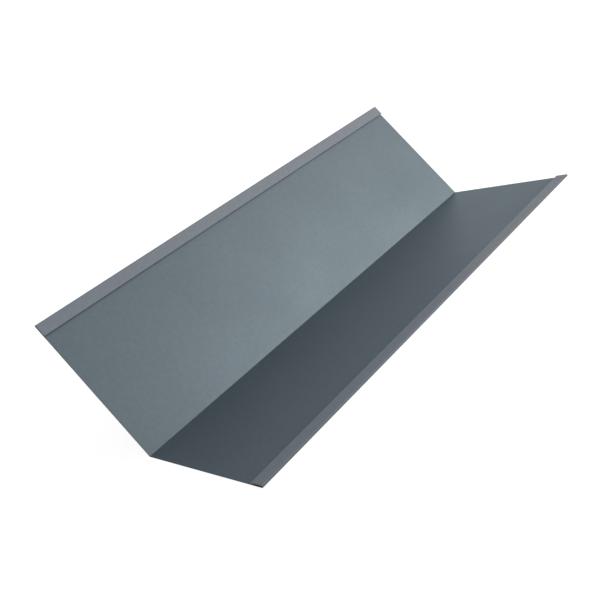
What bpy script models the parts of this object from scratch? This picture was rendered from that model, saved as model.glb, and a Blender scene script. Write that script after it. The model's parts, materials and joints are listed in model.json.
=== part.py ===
"""Valley flashing: one strip of coated steel sheet, folded along its middle into an open V.

Each long edge is turned back over the inner face as an open hem. Metres, +Z up.
The right wing lies flat on the floor and the left wing rises from the valley, which
runs along +Y. The origin is on the floor, below the middle of the part's box.
"""

from math import cos, pi, radians, sin, tan

import bmesh
import bpy
from mathutils import Vector

# Driving dimensions
LENGTH = 1.000                # along the valley
WING_WIDTH = 0.290            # from the valley's outer corner to the outside of the hem's fold
VALLEY_ANGLE = radians(120)   # between the inner faces of the two wings
SHEET_THICKNESS = 0.0005
VALLEY_BEND_RADIUS = 0.001    # inside of the bend
HEM_WIDTH = 0.025             # from the outside of the fold to the raw edge
HEM_GAP = 0.0032              # clear height between the wing and the flap turned back over it

# Flats along each bend: enough for a smooth curve at this radius
VALLEY_BEND_FLATS = 8
HEM_FOLD_FLATS = 20

# Finish
COAT_COLOUR = (0.125, 0.158, 0.175, 1.0)
COAT_METALLIC = 0.2
COAT_ROUGHNESS = 0.5
SHARP_EDGE_ANGLE = radians(30)


def clear_scene():
    for leftover in list(bpy.data.objects):
        bpy.data.objects.remove(leftover, do_unlink=True)


class SheetSection:
    """The sheet's middle line across the strip, drawn in XZ as runs and clockwise bends.

    Each station is a point of the line with the unit direction towards the sheet's left
    side there, as seen when walking along the line.
    """

    def __init__(self, start, heading):
        self.heading = heading
        self.stations = [(start, self.left())]

    def left(self):
        return Vector((-sin(self.heading), cos(self.heading)))

    def run(self, length):
        """Go straight ahead."""
        forward = Vector((cos(self.heading), sin(self.heading)))
        point = self.stations[-1][0] + forward * length
        self.stations.append((point, self.left()))

    def bend(self, angle, inside_radius, flats):
        """Turn clockwise through an angle, round a centre on the sheet's right side."""
        radius = inside_radius + SHEET_THICKNESS / 2
        centre = self.stations[-1][0] - self.left() * radius
        for _ in range(flats):
            self.heading -= angle / flats
            self.stations.append((centre + self.left() * radius, self.left()))


def flashing_section():
    """Walk the strip from the right wing's raw edge, over the valley, to the left raw edge."""
    fold_inside_radius = HEM_GAP / 2
    fold_outside_radius = fold_inside_radius + SHEET_THICKNESS
    valley_bend_angle = pi - VALLEY_ANGLE
    valley_setback = (VALLEY_BEND_RADIUS + SHEET_THICKNESS) * tan(valley_bend_angle / 2)
    flap_run = HEM_WIDTH - fold_outside_radius
    wing_run = WING_WIDTH - fold_outside_radius - valley_setback

    raw_edge_height = SHEET_THICKNESS + HEM_GAP + SHEET_THICKNESS / 2
    section = SheetSection(Vector((WING_WIDTH - HEM_WIDTH, raw_edge_height)), heading=0.0)
    section.run(flap_run)
    section.bend(pi, fold_inside_radius, HEM_FOLD_FLATS)
    section.run(wing_run)
    section.bend(valley_bend_angle, VALLEY_BEND_RADIUS, VALLEY_BEND_FLATS)
    section.run(wing_run)
    section.bend(pi, fold_inside_radius, HEM_FOLD_FLATS)
    section.run(flap_run)
    return section.stations


def fill_section(bm, stations):
    """Lay the cut end of the sheet as a strip of faces, one between each two stations."""
    rungs = []
    for point, left in stations:
        sides = (point - left * SHEET_THICKNESS / 2, point + left * SHEET_THICKNESS / 2)
        rungs.append([bm.verts.new((side.x, -LENGTH / 2, side.y)) for side in sides])
    for (right_a, left_a), (right_b, left_b) in zip(rungs, rungs[1:]):
        bm.faces.new((right_a, left_a, left_b, right_b))


def extrude_along_valley(bm):
    """Draw the filled section out to the full length, which leaves one closed body."""
    grown = bmesh.ops.extrude_face_region(bm, geom=bm.faces[:])
    far_end = [item for item in grown["geom"] if isinstance(item, bmesh.types.BMVert)]
    bmesh.ops.translate(bm, verts=far_end, vec=(0.0, LENGTH, 0.0))
    bmesh.ops.recalc_face_normals(bm, faces=bm.faces[:])


def coated_steel():
    material = bpy.data.materials.new("coated_steel")
    material.use_nodes = True
    shader = material.node_tree.nodes["Principled BSDF"]
    shader.inputs["Base Color"].default_value = COAT_COLOUR
    shader.inputs["Metallic"].default_value = COAT_METALLIC
    shader.inputs["Roughness"].default_value = COAT_ROUGHNESS
    return material


def centre_over_origin(part):
    """Bring the middle of the part's width over the origin."""
    across = [vertex.co.x for vertex in part.data.vertices]
    part.location.x = -(min(across) + max(across)) / 2


def build_flashing():
    mesh = bpy.data.meshes.new("valley_flashing")
    bm = bmesh.new()
    fill_section(bm, flashing_section())
    extrude_along_valley(bm)
    bm.to_mesh(mesh)
    bm.free()
    mesh.materials.append(coated_steel())
    mesh.shade_smooth()
    mesh.set_sharp_from_angle(angle=SHARP_EDGE_ANGLE)
    part = bpy.data.objects.new("valley_flashing", mesh)
    bpy.context.scene.collection.objects.link(part)
    centre_over_origin(part)
    return part


clear_scene()
build_flashing()
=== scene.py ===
"""Valley flashing: the folded sheet with its finish, a plain studio and the camera.

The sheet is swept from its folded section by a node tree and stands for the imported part's
one solid. Metres, +Z up. The valley runs along +Y, the right wing lies on the floor and the
left wing rises from the valley.
"""

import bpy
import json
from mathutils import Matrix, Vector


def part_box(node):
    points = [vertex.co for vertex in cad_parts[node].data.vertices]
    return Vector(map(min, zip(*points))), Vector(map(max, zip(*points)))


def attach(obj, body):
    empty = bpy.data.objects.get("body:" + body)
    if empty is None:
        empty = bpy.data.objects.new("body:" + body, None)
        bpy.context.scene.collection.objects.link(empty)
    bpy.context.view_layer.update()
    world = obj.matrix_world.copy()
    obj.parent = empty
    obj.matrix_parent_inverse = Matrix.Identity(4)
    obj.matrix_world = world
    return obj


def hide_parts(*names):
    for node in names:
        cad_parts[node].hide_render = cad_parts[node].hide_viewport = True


bl_info = {
    "name": "Valley Flashing",
    "version": (1, 0, 0),
    "blender": (4, 5, 0),
    "location": "3D View > Sidebar > Flashing",
    "description": "Builds a coated valley flashing with open hems and the plain studio around it",
    "category": "Add Mesh",
}

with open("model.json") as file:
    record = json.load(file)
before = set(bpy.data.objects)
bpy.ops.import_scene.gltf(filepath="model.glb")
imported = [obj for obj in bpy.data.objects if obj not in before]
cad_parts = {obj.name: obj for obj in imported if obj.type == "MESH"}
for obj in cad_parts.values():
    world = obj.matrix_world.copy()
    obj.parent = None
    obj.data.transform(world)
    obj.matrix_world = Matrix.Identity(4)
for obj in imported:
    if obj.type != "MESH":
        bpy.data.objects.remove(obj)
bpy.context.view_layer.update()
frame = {"record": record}

import json
from math import pi, radians, tan

import bpy
from mathutils import Matrix, Vector

NODE = "valley_flashing"
CAD_LOW, CAD_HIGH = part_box(NODE)
MOUNTS = {mount["name"]: mount for mount in frame["record"]["mounts"]}

# The folded section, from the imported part's box and mounts
RAISED_AXIS = Vector(MOUNTS["raised_wing_underside"]["axis"])
RAISED_POINT = Vector(MOUNTS["raised_wing_underside"]["pos_m"])
FLAT_AXIS = Vector(MOUNTS["flat_wing_underside"]["axis"])
VALLEY_ANGLE = pi - FLAT_AXIS.angle(RAISED_AXIS)
VALLEY_X = RAISED_POINT.x - RAISED_POINT.z / tan(VALLEY_ANGLE)
WING_WIDTH = CAD_HIGH.x - VALLEY_X
LENGTH = CAD_HIGH.y - CAD_LOW.y
HEM_HEIGHT = MOUNTS["flat_wing_hem"]["pos_m"][2]

# Sizes of the section that the box and the mounts don't give
SHEET_THICKNESS = 0.0005
VALLEY_BEND_RADIUS = 0.001
HEM_WIDTH = 0.025
FOLD_SHOULDER = 0.0027

# Fineness of the mesh
QUARTER_TURN_FLATS = 12
FACES_ALONG = 20
EDGE_BREAK_FLATS = 2
EDGE_BREAK_ANGLE = radians(60)     # edges that turn by more than this are broken
MERGE_DISTANCE = 0.000005

WHITE = (1.0, 1.0, 1.0, 1.0)


class Tree:
    """A node tree with short ways to add nodes and join them."""

    def __init__(self, nodes_tree):
        self.tree = nodes_tree

    def feed(self, socket, value):
        """Give a socket another socket's output, or a plain value."""
        if isinstance(value, bpy.types.NodeSocket):
            self.tree.links.new(value, socket)
        else:
            socket.default_value = value

    def add(self, kind, inputs=None, **settings):
        """Add a node, set its options and feed its inputs by name or number."""
        node = self.tree.nodes.new(kind)
        for name, value in settings.items():
            setattr(node, name, value)
        for name, value in (inputs or {}).items():
            self.feed(node.inputs[name], value)
        return node

    def math(self, operation, first, second=0.0):
        return self.add("ShaderNodeMath", {0: first, 1: second}, operation=operation).outputs[0]

    def total(self, first, *others):
        """The sum of several values."""
        for other in others:
            first = self.math("ADD", first, other)
        return first

    def vector(self, x=0.0, y=0.0, z=0.0):
        return self.add("ShaderNodeCombineXYZ", {"X": x, "Y": y, "Z": z}).outputs[0]

    def scaled(self, vector, factor):
        """A vector or colour times a number."""
        return self.add("ShaderNodeVectorMath", {0: vector, "Scale": factor}, operation="SCALE").outputs[0]


class FlashingSheet(bpy.types.PropertyGroup):
    """Sizes of the folded sheet."""

    length: bpy.props.FloatProperty(
        name="Length", description="Length along the valley",
        default=LENGTH, min=0.1, unit="LENGTH")
    wing_width: bpy.props.FloatProperty(
        name="Wing Width", description="From the valley's outer corner to the outside of the hem",
        default=WING_WIDTH, min=0.05, unit="LENGTH")
    valley_angle: bpy.props.FloatProperty(
        name="Valley Angle", description="Angle between the inner faces of the two wings",
        default=VALLEY_ANGLE, min=radians(60), max=radians(175), subtype="ANGLE", unit="ROTATION")
    thickness: bpy.props.FloatProperty(
        name="Thickness", description="Gauge of the sheet",
        default=SHEET_THICKNESS, min=0.0003, precision=5, unit="LENGTH")
    valley_bend_radius: bpy.props.FloatProperty(
        name="Valley Bend Radius", description="Inside radius of the bend along the valley",
        default=VALLEY_BEND_RADIUS, min=0.0003, precision=5, unit="LENGTH")
    hem_width: bpy.props.FloatProperty(
        name="Hem Width", description="From the outside of the fold to the raw edge",
        default=HEM_WIDTH, min=0.005, unit="LENGTH")
    hem_height: bpy.props.FloatProperty(
        name="Hem Height", description="From the wing's underside to the top of the flap",
        default=HEM_HEIGHT, min=0.0015, precision=5, unit="LENGTH")
    fold_shoulder: bpy.props.FloatProperty(
        name="Fold Shoulder", description="Rounding of a hem's fold on the flap's side",
        default=FOLD_SHOULDER, min=0.0006, precision=5, unit="LENGTH")
    edge_break: bpy.props.FloatProperty(
        name="Edge Break", description="Width of the rounding that the shear leaves on a cut edge",
        default=0.00006, min=0.0, precision=5, unit="LENGTH")


class FlashingFinish(bpy.types.PropertyGroup):
    """Coats of the sheet, the steel that shows on its cut edges, and the shade painted on the coats."""

    front_coat: bpy.props.FloatVectorProperty(
        name="Front Coat", description="Colour of the coat on the inner faces",
        default=(0.108, 0.132, 0.161, 1.0), size=4, min=0.0, max=1.0, subtype="COLOR")
    front_metallic: bpy.props.FloatProperty(
        name="Front Metallic", description="How much metal flake the front coat shows",
        default=0.45, min=0.0, max=1.0, subtype="FACTOR")
    front_roughness: bpy.props.FloatProperty(
        name="Front Roughness", description="Roughness of the front coat",
        default=0.507, min=0.0, max=1.0, subtype="FACTOR")
    front_sheen: bpy.props.FloatVectorProperty(
        name="Front Sheen", description="Tint of what the front coat mirrors",
        default=(0.80, 1.0, 1.0, 1.0), size=4, min=0.0, max=1.0, subtype="COLOR")
    reverse_coat: bpy.props.FloatVectorProperty(
        name="Reverse Coat", description="Colour of the coat on the underside, which the hems show",
        default=(0.208, 0.244, 0.298, 1.0), size=4, min=0.0, max=1.0, subtype="COLOR")
    reverse_metallic: bpy.props.FloatProperty(
        name="Reverse Metallic", description="How much metal flake the reverse coat shows",
        default=0.0, min=0.0, max=1.0, subtype="FACTOR")
    reverse_roughness: bpy.props.FloatProperty(
        name="Reverse Roughness", description="Roughness of the reverse coat",
        default=0.496, min=0.0, max=1.0, subtype="FACTOR")
    reverse_sheen: bpy.props.FloatVectorProperty(
        name="Reverse Sheen", description="Tint of what the reverse coat mirrors",
        default=(1.0, 0.92, 0.94, 1.0), size=4, min=0.0, max=1.0, subtype="COLOR")
    bare_steel: bpy.props.FloatVectorProperty(
        name="Bare Steel", description="Colour of the sheared edges",
        default=(0.18, 0.18, 0.18, 1.0), size=4, min=0.0, max=1.0, subtype="COLOR")
    grain_size: bpy.props.FloatProperty(
        name="Grain Size", description="Size of the matte coat's finest lumps",
        default=0.0007, min=0.0001, precision=5, unit="LENGTH")
    grain_depth: bpy.props.FloatProperty(
        name="Grain Depth", description="Height of the matte coat's finest lumps",
        default=0.000012, min=0.0, precision=6, unit="LENGTH")
    grain_contrast: bpy.props.FloatProperty(
        name="Grain Contrast", description="Change of brightness from lump to lump",
        default=0.10, min=0.0, max=1.0, subtype="FACTOR")
    roller_spacing: bpy.props.FloatProperty(
        name="Roller Spacing", description="Distance between the coating roller's faint lines",
        default=0.004, min=0.0005, precision=4, unit="LENGTH")
    roller_contrast: bpy.props.FloatProperty(
        name="Roller Contrast", description="Change of brightness across the roller lines",
        default=0.035, min=0.0, max=1.0, subtype="FACTOR")
    mottle_size: bpy.props.FloatProperty(
        name="Mottle Size", description="Size of the coat's faint blotches",
        default=0.008, min=0.001, precision=4, unit="LENGTH")
    mottle_contrast: bpy.props.FloatProperty(
        name="Mottle Contrast", description="Change of brightness from blotch to blotch",
        default=0.11, min=0.0, max=1.0, subtype="FACTOR")
    cloud_contrast: bpy.props.FloatProperty(
        name="Cloud Contrast", description="Soft change of brightness over the length of a hand",
        default=0.03, min=0.0, max=1.0, subtype="FACTOR")
    # painted shade: the coat is darkened along the cut ends and raw edges as shade, not as a darker coat
    painted_rim_width: bpy.props.FloatProperty(
        name="Rim Width", description="Width of the darker rim where the shear dragged the coat down",
        default=0.0025, min=0.0001, precision=5, unit="LENGTH")
    rim_painted_shade: bpy.props.FloatProperty(
        name="Rim Darkening", description="How much darker the coat is at a cut edge",
        default=0.25, min=0.0, max=1.0, subtype="FACTOR")
    # painted shade: the front coat is darkened inside the hems, where shade falls
    hem_painted_shade: bpy.props.FloatProperty(
        name="Hem Darkening", description="How much darker the coat is inside the hems",
        default=0.5, min=0.0, max=1.0, subtype="FACTOR")
    # painted shade: the reverse coat is darkened round each hem's fold, where it turns away from the light
    fold_painted_shade: bpy.props.FloatProperty(
        name="Fold Darkening", description="How much darker the coat is round a hem's fold",
        default=0.48, min=0.0, max=1.0, subtype="FACTOR")


class FlashingStudio(bpy.types.PropertyGroup):
    """Floor, lights and camera."""

    floor_colour: bpy.props.FloatVectorProperty(
        name="Floor Colour", description="Colour of the floor",
        default=(0.8, 0.8, 0.8, 1.0), size=4, min=0.0, max=1.0, subtype="COLOR")
    floor_glow: bpy.props.FloatProperty(
        name="Floor Glow", description="How far the floor is lifted to white as a background",
        default=0.8, min=0.0)
    fill_level: bpy.props.FloatProperty(
        name="Fill Level", description="Brightness of the even light from all round",
        default=0.286, min=0.0)
    key_level: bpy.props.FloatProperty(
        name="Key Level", description="How bright the key light makes a white face turned to it",
        default=0.562, min=0.0)
    key_colour: bpy.props.FloatVectorProperty(
        name="Key Colour", description="Colour of the key light",
        default=(1.0, 1.0, 0.9), size=3, min=0.0, max=1.0, subtype="COLOR")
    key_place: bpy.props.FloatVectorProperty(
        name="Key Place", description="Where the key light hangs",
        default=(4.036, 3.501, 1.811), size=3, subtype="XYZ", unit="LENGTH")
    key_aim: bpy.props.FloatVectorProperty(
        name="Key Aim", description="Point that the key light faces",
        default=(-0.05, 0.0, 0.1), size=3, subtype="XYZ", unit="LENGTH")
    key_size: bpy.props.FloatVectorProperty(
        name="Key Size", description="Width and height of the key light",
        default=(2.26, 2.26), size=2, min=0.05, unit="LENGTH")
    camera_place: bpy.props.FloatVectorProperty(
        name="Camera Place", description="Where the camera stands",
        default=(0.96810, -0.90496, 0.52922), size=3, subtype="XYZ", unit="LENGTH")
    camera_aim: bpy.props.FloatVectorProperty(
        name="Camera Aim", description="Point at the middle of the picture",
        default=(0.01152, -0.14581, 0.08351), size=3, subtype="XYZ", unit="LENGTH")
    camera_roll: bpy.props.FloatProperty(
        name="Camera Roll", description="Turn of the camera about its own axis, clockwise",
        default=radians(24.5214), subtype="ANGLE", unit="ROTATION")
    field_of_view: bpy.props.FloatProperty(
        name="Field Of View", description="Angle across the picture",
        default=radians(45), min=radians(5), max=radians(120), subtype="ANGLE", unit="ROTATION")


ACROSS = "across"        # attribute: distance across the strip from the right raw edge, in metres

# Patterns of the coats
PATTERN_SHIFTS = {"front": 0.0, "reverse": 31.0}   # so that the two coats differ
CLOUDS_PER_METRE = 7.0
LINE_CHANGES_PER_METRE = 2.5       # along each roller line
LINE_DETAIL = 3.0
LINE_HEIGHT = 0.3                  # of a roller line, as a share of the grain's
GRAIN_ROUGHNESS = 0.08             # change of roughness from lump to lump
CLOUD_ROUGHNESS = 0.06

# Patterns of the sheared steel
BREAKS_PER_METRE = 9000.0
BREAK_DETAIL = 3.0
BREAK_CONTRAST = 0.6
BREAK_ROUGHNESS = 0.2
BREAK_DEPTH = 0.00002
PATCHES_PER_METRE = 300.0
PATCH_CONTRAST = 0.4
CUT_ROUGHNESS = 0.5
CUT_METALLIC = 0.8


def new_material(name):
    """A node material, its tree and its shader."""
    material = bpy.data.materials.new(name)
    material.use_nodes = True
    return material, Tree(material.node_tree), material.node_tree.nodes["Principled BSDF"]


def signed(t, factor, contrast):
    """A 0 to 1 pattern as a change of brightness of either sign."""
    return t.math("MULTIPLY", t.math("SUBTRACT", factor, 0.5), 2.0 * contrast)


def noise(t, place, scale, detail=2.0):
    node = t.add("ShaderNodeTexNoise", {"Vector": place, "Scale": scale, "Detail": detail})
    return node.outputs["Fac"]


def bumped(t, shader, height, depth):
    """Give the shader the fine relief of a 0 to 1 pattern."""
    bump = t.add("ShaderNodeBump", {"Height": height, "Strength": 1.0, "Distance": depth})
    t.feed(shader.inputs["Normal"], bump.outputs[0])


def sheet_place(t, shift):
    """The shaded point's shifted place in the part, and its place on the flat strip."""
    point = t.add("ShaderNodeTexCoord").outputs["Object"]
    moved = t.add("ShaderNodeVectorMath", {0: point, 1: (shift, shift, shift)}).outputs[0]
    along = t.add("ShaderNodeSeparateXYZ", {0: point}).outputs["Y"]
    across = t.add("ShaderNodeAttribute", attribute_name=ACROSS).outputs["Fac"]
    return moved, along, across


def ramp(t, value, start, end, first, last):
    """A value's smooth change from first to last between start and end."""
    node = t.add("ShaderNodeMapRange", {"Value": value}, interpolation_type="SMOOTHSTEP")
    for name, level in zip(("From Min", "From Max", "To Min", "To Max"), (start, end, first, last)):
        node.inputs[name].default_value = level
    return node.outputs[0]


def rim_shade(t, along, from_side, sheet, finish):
    """Painted shade: brightness that drops towards the cut ends and the raw edges."""
    from_end = t.math("SUBTRACT", sheet.length / 2, t.math("ABSOLUTE", along))
    nearest = t.math("MINIMUM", from_end, from_side)
    return ramp(t, nearest, 0.0, finish.painted_rim_width, 1.0 - finish.rim_painted_shade, 1.0)


def front_shade(t, from_side, sheet, finish):
    """Brightness of the front coat, with painted shade inside the hems, where shade falls."""
    fold = sheet.hem_height / 2
    out_of_hem = 2 * (sheet.hem_width - fold) + pi * fold     # the flap, the fold and the wing below
    return ramp(t, from_side, out_of_hem - fold, out_of_hem, 1.0 - finish.hem_painted_shade, 1.0)


def reverse_shade(t, from_side, sheet, finish):
    """Brightness of the reverse coat, with painted shade round each hem's fold, where the fold turns down
    away from the light.
    """
    shoulder = sheet.fold_shoulder
    start = sheet.hem_width - shoulder
    end = start + pi / 2 * sheet.hem_height
    into = ramp(t, from_side, start + shoulder / 2, start + shoulder, 1.0, 1.0 - finish.fold_painted_shade)
    out = ramp(t, from_side, end, end + shoulder, 0.0, finish.fold_painted_shade)
    return t.total(into, out)


def strip_width(sheet):
    """Width of the flat strip along its outer face."""
    fold = sheet.hem_height / 2
    valley = sheet.valley_bend_radius + sheet.thickness
    bend = pi - sheet.valley_angle
    flap = sheet.hem_width - fold
    wing = sheet.wing_width - fold - valley * tan(bend / 2)
    return 2 * (flap + pi * fold + wing) + bend * valley


def roller_lines(t, along, across, finish):
    """Long faint lines that run the length of the strip."""
    place = t.vector(t.math("DIVIDE", across, finish.roller_spacing),
                     t.math("MULTIPLY", along, LINE_CHANGES_PER_METRE))
    return noise(t, place, 1.0, LINE_DETAIL)


def coat_material(side, sheet, finish):
    """One side's matte coil coat: fine grain, blotches, roller lines and soft clouds, all faint, with
    painted shade at the edges and in and round the hems.
    """
    material, t, shader = new_material(side + "_coat")
    point, along, across = sheet_place(t, PATTERN_SHIFTS[side])
    grain = noise(t, point, 1.0 / finish.grain_size)
    mottle = noise(t, point, 1.0 / finish.mottle_size)
    clouds = noise(t, point, CLOUDS_PER_METRE)
    lines = roller_lines(t, along, across, finish)
    patterned = t.total(
        1.0, signed(t, grain, finish.grain_contrast), signed(t, clouds, finish.cloud_contrast),
        signed(t, lines, finish.roller_contrast), signed(t, mottle, finish.mottle_contrast))

    from_side = t.math("MINIMUM", across, t.math("SUBTRACT", strip_width(sheet), across))
    # painted shade: the hem, fold and edge shading below darkens the coat's colour
    shade = front_shade if side == "front" else reverse_shade
    folds = shade(t, from_side, sheet, finish)
    edges = t.math("MULTIPLY", rim_shade(t, along, from_side, sheet, finish), folds)
    brightness = t.math("MULTIPLY", patterned, edges)
    colour = tuple(getattr(finish, side + "_coat"))[:3]
    t.feed(shader.inputs["Base Color"], t.scaled(colour, brightness))

    roughness = t.total(getattr(finish, side + "_roughness"), signed(t, grain, GRAIN_ROUGHNESS),
                        signed(t, clouds, CLOUD_ROUGHNESS))
    t.feed(shader.inputs["Roughness"], roughness)
    shader.inputs["Metallic"].default_value = getattr(finish, side + "_metallic")
    shader.inputs["Specular Tint"].default_value = getattr(finish, side + "_sheen")
    bumped(t, shader, t.total(grain, t.math("MULTIPLY", lines, LINE_HEIGHT)), finish.grain_depth)
    return material


def cut_steel_material(finish):
    """Sheared steel: fine breaks through the gauge, and dull."""
    material, t, shader = new_material("cut_steel")
    point = t.add("ShaderNodeTexCoord").outputs["Object"]
    breaks = noise(t, point, BREAKS_PER_METRE, BREAK_DETAIL)
    patches = noise(t, point, PATCHES_PER_METRE)
    brightness = t.total(1.0, signed(t, breaks, BREAK_CONTRAST), signed(t, patches, PATCH_CONTRAST))
    t.feed(shader.inputs["Base Color"], t.scaled(tuple(finish.bare_steel)[:3], brightness))
    t.feed(shader.inputs["Roughness"], t.total(CUT_ROUGHNESS, signed(t, breaks, BREAK_ROUGHNESS)))
    shader.inputs["Metallic"].default_value = CUT_METALLIC
    bumped(t, shader, breaks, BREAK_DEPTH)
    return material


def interface_inputs(tree, kinds):
    """Add the tree's named inputs and its output, and return the inputs' sockets."""
    for name, kind in kinds.items():
        tree.interface.new_socket(name, in_out="INPUT", socket_type=kind)
    tree.interface.new_socket("Geometry", in_out="OUTPUT", socket_type="NodeSocketGeometry")
    return tree.nodes.new("NodeGroupInput").outputs


SHEET_INPUTS = {
    "Length": "NodeSocketFloat",
    "Wing Width": "NodeSocketFloat",
    "Valley Angle": "NodeSocketFloat",
    "Valley Line": "NodeSocketFloat",
    "Thickness": "NodeSocketFloat",
    "Valley Bend Radius": "NodeSocketFloat",
    "Hem Width": "NodeSocketFloat",
    "Hem Height": "NodeSocketFloat",
    "Fold Shoulder": "NodeSocketFloat",
    "Flats In A Quarter Turn": "NodeSocketInt",
    "Faces Along": "NodeSocketInt",
    "Front Coat": "NodeSocketMaterial",
    "Reverse Coat": "NodeSocketMaterial",
    "Bare Steel": "NodeSocketMaterial",
}
SECTION_CORNERS = 7      # raw edge, two fold corners, valley, two fold corners, raw edge
HALF_STEP = 0.5          # keeps a comparison or a rounding clear of the whole numbers


def index_choice(t, index, data_type, values):
    """Pick one of several values by a whole number."""
    node = t.add("GeometryNodeIndexSwitch", data_type=data_type)
    while len(node.index_switch_items) < len(values):
        node.index_switch_items.new()
    t.feed(node.inputs[0], index)
    for place, value in enumerate(values, start=1):
        t.feed(node.inputs[place], value)
    return node.outputs[0]


def section_curve(t, given):
    """The outer face's line across the strip, from the right raw edge to the left one.

    Seven corners are placed, the left three as mirror images of the right three in the plane
    that halves the valley, and each corner is then rounded to its bend.
    """
    middle = SECTION_CORNERS // 2
    index = t.add("GeometryNodeInputIndex").outputs[0]
    from_middle = t.math("ABSOLUTE", t.math("SUBTRACT", index, middle))
    corner = t.math("SUBTRACT", middle, from_middle)
    wing = given["Wing Width"]
    top = given["Hem Height"]
    raw_edge = t.math("SUBTRACT", wing, given["Hem Width"])
    places = [t.vector(raw_edge, 0.0, top), t.vector(wing, 0.0, top), t.vector(wing), t.vector()]
    place = index_choice(t, corner, "VECTOR", places)

    half_angle = t.math("DIVIDE", given["Valley Angle"], 2.0)
    down = t.math("MULTIPLY", t.math("COSINE", half_angle), -1.0)
    across = t.vector(t.math("SINE", half_angle), 0.0, down)
    mirrored = t.add("ShaderNodeVectorMath", {0: place, 1: across}, operation="REFLECT").outputs[0]
    is_left = t.math("GREATER_THAN", index, middle + HALF_STEP)
    either = t.add("GeometryNodeSwitch", {"Switch": is_left}, input_type="VECTOR")
    t.feed(either.inputs["False"], place)
    t.feed(either.inputs["True"], mirrored)
    to_valley = t.vector(given["Valley Line"])
    shifted = t.add("ShaderNodeVectorMath", {0: either.outputs[0], 1: to_valley}).outputs[0]

    points = t.add("GeometryNodeMeshLine", {"Count": SECTION_CORNERS}).outputs[0]
    placed = t.add("GeometryNodeSetPosition", {"Geometry": points, "Position": shifted}).outputs[0]
    line = t.add("GeometryNodeMeshToCurve", {"Mesh": placed}).outputs[0]
    shoulder = given["Fold Shoulder"]
    heel = t.math("SUBTRACT", top, shoulder)
    valley = t.math("ADD", given["Valley Bend Radius"], given["Thickness"])
    radius = index_choice(t, corner, "FLOAT", [0.0, shoulder, heel, valley])
    rounded = t.add("GeometryNodeFilletCurve", mode="POLY")
    t.feed(rounded.inputs["Curve"], line)
    t.feed(rounded.inputs["Count"], given["Flats In A Quarter Turn"])
    t.feed(rounded.inputs["Radius"], radius)
    t.feed(rounded.inputs["Limit Radius"], True)
    return rounded.outputs[0]


def outer_face(t, given, section):
    """A grid with a column for each point of the section, drawn out along the valley."""
    size = t.add("GeometryNodeAttributeDomainSize", {"Geometry": section}, component="CURVE")
    columns = size.outputs["Point Count"]
    rows = t.math("ADD", given["Faces Along"], 1.0)
    grid = t.add("GeometryNodeMeshGrid", {"Size X": 1.0, "Size Y": given["Length"]})
    t.feed(grid.inputs["Vertices X"], columns)
    t.feed(grid.inputs["Vertices Y"], rows)
    index = t.add("GeometryNodeInputIndex").outputs[0]
    column = t.math("FLOOR", t.math("DIVIDE", t.math("ADD", index, HALF_STEP), rows))
    position = t.add("GeometryNodeInputPosition").outputs[0]
    found = t.add("GeometryNodeSampleIndex", {"Geometry": section}, data_type="FLOAT_VECTOR")
    t.feed(found.inputs["Value"], position)
    t.feed(found.inputs["Index"], column)
    along = t.add("ShaderNodeSeparateXYZ", {0: position}).outputs["Y"]
    place = t.add("ShaderNodeVectorMath", {0: found.outputs[0], 1: t.vector(0.0, along)}).outputs[0]
    swept = t.add("GeometryNodeSetPosition", {"Geometry": grid.outputs[0], "Position": place})
    walked = t.add("GeometryNodeSampleIndex", {"Geometry": section}, data_type="FLOAT")
    t.feed(walked.inputs["Value"], t.add("GeometryNodeSplineParameter").outputs["Length"])
    t.feed(walked.inputs["Index"], column)
    marked = t.add("GeometryNodeStoreNamedAttribute", {"Geometry": swept.outputs[0], "Name": ACROSS},
                   data_type="FLOAT", domain="POINT")
    t.feed(marked.inputs["Value"], walked.outputs[0])
    return marked.outputs[0]


def merged(t, geometry):
    """Join the points that lie on each other."""
    node = t.add("GeometryNodeMergeByDistance", {"Geometry": geometry, "Distance": MERGE_DISTANCE})
    return node.outputs[0]


def sheet_tree():
    """The whole sheet: its outer face, thickened inwards, with a finish for each side."""
    tree = bpy.data.node_groups.new("Folded Sheet", "GeometryNodeTree")
    t = Tree(tree)
    given = interface_inputs(tree, SHEET_INPUTS)
    reverse = merged(t, outer_face(t, given, section_curve(t, given)))
    turned = t.add("GeometryNodeFlipFaces", {"Mesh": reverse}).outputs[0]
    grown = t.add("GeometryNodeExtrudeMesh", {"Mesh": turned, "Offset Scale": given["Thickness"]})
    grown.inputs["Individual"].default_value = False
    both = t.add("GeometryNodeJoinGeometry")
    t.feed(both.inputs[0], reverse)
    t.feed(both.inputs[0], grown.outputs["Mesh"])
    smooth = t.add("GeometryNodeSetShadeSmooth", {"Geometry": merged(t, both.outputs[0])})
    finished = t.add("GeometryNodeRealizeInstances", {"Geometry": smooth.outputs[0]})
    for coat, faces in (("Reverse Coat", True), ("Front Coat", grown.outputs["Top"]),
                        ("Bare Steel", grown.outputs["Side"])):
        finished = t.add("GeometryNodeSetMaterial", {"Geometry": finished.outputs[0]})
        t.feed(finished.inputs["Selection"], faces)
        t.feed(finished.inputs["Material"], given[coat])
    out = tree.nodes.new("NodeGroupOutput")
    t.feed(out.inputs[0], finished.outputs[0])
    return tree


def set_inputs(modifier, values):
    """Set a node modifier's inputs by their sockets' identifiers."""
    for item in modifier.node_group.interface.items_tree:
        if item.in_out == "INPUT":
            modifier[item.identifier] = values[item.name]


def new_object(name, data):
    """An object in the scene, at the origin."""
    thing = bpy.data.objects.new(name, data)
    bpy.context.scene.collection.objects.link(thing)
    return thing


def plain_mesh(source, name):
    """A new object with the source's evaluated mesh. The source and its modifiers are removed."""
    evaluated = source.evaluated_get(bpy.context.evaluated_depsgraph_get())
    mesh = bpy.data.meshes.new_from_object(evaluated)
    mesh.name = name
    bpy.data.objects.remove(source)
    return new_object(name, mesh)


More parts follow.
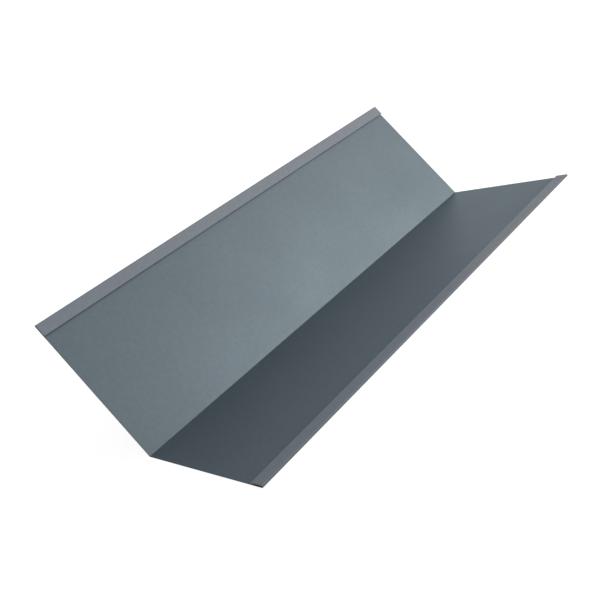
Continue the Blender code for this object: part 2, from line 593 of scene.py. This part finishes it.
def fold_sheet(source, sheet, finish):
    """Give the source the node tree that makes the sheet, with its inputs."""
    nodes = source.modifiers.new("Folded Sheet", "NODES")
    nodes.node_group = sheet_tree()
    set_inputs(nodes, {
        "Length": sheet.length,
        "Wing Width": sheet.wing_width,
        "Valley Angle": sheet.valley_angle,
        "Valley Line": VALLEY_X,
        "Thickness": sheet.thickness,
        "Valley Bend Radius": sheet.valley_bend_radius,
        "Hem Width": sheet.hem_width,
        "Hem Height": sheet.hem_height,
        "Fold Shoulder": sheet.fold_shoulder,
        "Flats In A Quarter Turn": QUARTER_TURN_FLATS,
        "Faces Along": FACES_ALONG,
        "Front Coat": coat_material("front", sheet, finish),
        "Reverse Coat": coat_material("reverse", sheet, finish),
        "Bare Steel": cut_steel_material(finish),
    })


def finish_edges(source, sheet):
    """Break the cut edges, and keep the flat faces beside them evenly shaded."""
    edge_break = source.modifiers.new("Edge Break", "BEVEL")
    edge_break.width = sheet.edge_break
    edge_break.segments = EDGE_BREAK_FLATS
    edge_break.limit_method = "ANGLE"
    edge_break.angle_limit = EDGE_BREAK_ANGLE
    weights = source.modifiers.new("Even Shading", "WEIGHTED_NORMAL")
    weights.keep_sharp = True


class FLASHING_OT_make_sheet(bpy.types.Operator):
    """Build the folded sheet with its two coats and its sheared edges"""

    bl_idname = "flashing.make_sheet"
    bl_label = "Make Sheet"

    def execute(self, context):
        sheet = context.scene.flashing_sheet
        source = new_object("sheet_source", bpy.data.meshes.new("sheet_source"))
        fold_sheet(source, sheet, context.scene.flashing_finish)
        finish_edges(source, sheet)
        piece = plain_mesh(source, "folded_sheet")
        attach(piece, "root")
        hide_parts(NODE)
        return {"FINISHED"}


FLOOR_REACH = 12.0       # from the origin, each way
FLOOR_DROP = 0.0004      # leaves the flat wing's underside clear of the floor


def aim(thing, place, target, roll=0.0):
    """Stand a lamp or the camera somewhere, facing a point, turned clockwise about its axis."""
    facing = (Vector(target) - Vector(place)).to_track_quat("-Z", "Y").to_matrix().to_4x4()
    thing.matrix_world = Matrix.Translation(place) @ facing @ Matrix.Rotation(-roll, 4, "Z")


def make_camera(studio):
    """The camera, where the photograph was taken."""
    lens = bpy.data.cameras.new("camera")
    lens.sensor_fit = "HORIZONTAL"
    lens.angle = studio.field_of_view
    camera = new_object("camera", lens)
    aim(camera, studio.camera_place, studio.camera_aim, studio.camera_roll)
    bpy.context.scene.camera = camera


def make_floor(studio):
    """One large level face under the part."""
    mesh = bpy.data.meshes.new("floor")
    sides = ((-1, -1), (1, -1), (1, 1), (-1, 1))
    corners = [(x * FLOOR_REACH, y * FLOOR_REACH, -FLOOR_DROP) for x, y in sides]
    mesh.from_pydata(corners, [], [range(len(corners))])
    mesh.materials.append(floor_material(studio))
    new_object("floor", mesh)


def background_rays(t):
    """1 for the rays that show the background: the camera's, and those of gloss and glass."""
    rays = t.add("ShaderNodeLightPath").outputs
    gloss_or_glass = t.math("MAXIMUM", rays["Is Glossy Ray"], rays["Is Transmission Ray"])
    return t.math("MAXIMUM", rays["Is Camera Ray"], gloss_or_glass)


def floor_material(studio):
    """A pale floor, lifted to white where it is background, which keeps the part's soft shadow."""
    material, t, _ = new_material("floor")
    material.node_tree.nodes.clear()
    shade = t.add("ShaderNodeBsdfDiffuse", {"Color": studio.floor_colour}).outputs[0]
    glow = t.add("ShaderNodeEmission", {"Color": WHITE, "Strength": studio.floor_glow}).outputs[0]
    lit = t.add("ShaderNodeAddShader", {0: shade, 1: glow}).outputs[0]
    mixed = t.add("ShaderNodeMixShader", {0: background_rays(t), 1: shade, 2: lit}).outputs[0]
    t.add("ShaderNodeOutputMaterial", {"Surface": mixed})
    return material


def make_world(studio):
    """Even fill light, and plain white where the world is background."""
    world = bpy.data.worlds.new("studio")
    bpy.context.scene.world = world
    world.use_nodes = True
    world.node_tree.nodes.clear()
    t = Tree(world.node_tree)
    fill = t.add("ShaderNodeBackground", {"Color": WHITE, "Strength": studio.fill_level}).outputs[0]
    white = t.add("ShaderNodeBackground", {"Color": WHITE, "Strength": 1.0}).outputs[0]
    mixed = t.add("ShaderNodeMixShader", {0: background_rays(t), 1: fill, 2: white}).outputs[0]
    t.add("ShaderNodeOutputWorld", {"Surface": mixed})


def make_key(studio):
    """A soft lamp on the flat wing's side.

    From a metre away, pi squared watts light a white face that is turned to the lamp to 1.
    """
    place, target = Vector(studio.key_place), Vector(studio.key_aim)
    lamp_data = bpy.data.lights.new("key", "AREA")
    lamp_data.shape = "RECTANGLE"
    lamp_data.size, lamp_data.size_y = studio.key_size
    lamp_data.color = studio.key_colour
    lamp_data.energy = studio.key_level * pi ** 2 * (place - target).length_squared
    aim(new_object("key", lamp_data), place, target)


class FLASHING_OT_make_stage(bpy.types.Operator):
    """Lay the floor, hang the lights and stand the camera where the photograph was taken"""

    bl_idname = "flashing.make_stage"
    bl_label = "Make Stage"

    def execute(self, context):
        studio = context.scene.flashing_studio
        make_floor(studio)
        make_world(studio)
        make_key(studio)
        make_camera(studio)
        context.scene.view_settings.view_transform = "Standard"
        return {"FINISHED"}


class FLASHING_PT_sidebar(bpy.types.Panel):
    """Sizes, colours and buttons of the flashing"""

    bl_idname = "FLASHING_PT_sidebar"
    bl_label = "Valley Flashing"
    bl_space_type = "VIEW_3D"
    bl_region_type = "UI"
    bl_category = "Flashing"

    def draw(self, context):
        for group in (context.scene.flashing_sheet, context.scene.flashing_finish,
                      context.scene.flashing_studio):
            box = self.layout.box()
            for name in group.__annotations__:
                box.prop(group, name)
        self.layout.operator(FLASHING_OT_make_sheet.bl_idname)
        self.layout.operator(FLASHING_OT_make_stage.bl_idname)


CLASSES = (FlashingSheet, FlashingFinish, FlashingStudio,
           FLASHING_OT_make_sheet, FLASHING_OT_make_stage, FLASHING_PT_sidebar)


def register():
    for cls in CLASSES:
        bpy.utils.register_class(cls)
    bpy.types.Scene.flashing_sheet = bpy.props.PointerProperty(type=FlashingSheet)
    bpy.types.Scene.flashing_finish = bpy.props.PointerProperty(type=FlashingFinish)
    bpy.types.Scene.flashing_studio = bpy.props.PointerProperty(type=FlashingStudio)


def unregister():
    del bpy.types.Scene.flashing_studio
    del bpy.types.Scene.flashing_finish
    del bpy.types.Scene.flashing_sheet
    for cls in reversed(CLASSES):
        bpy.utils.unregister_class(cls)


def main():
    register()
    bpy.ops.flashing.make_sheet()
    bpy.ops.flashing.make_stage()


if __name__ == "__main__":
    main()
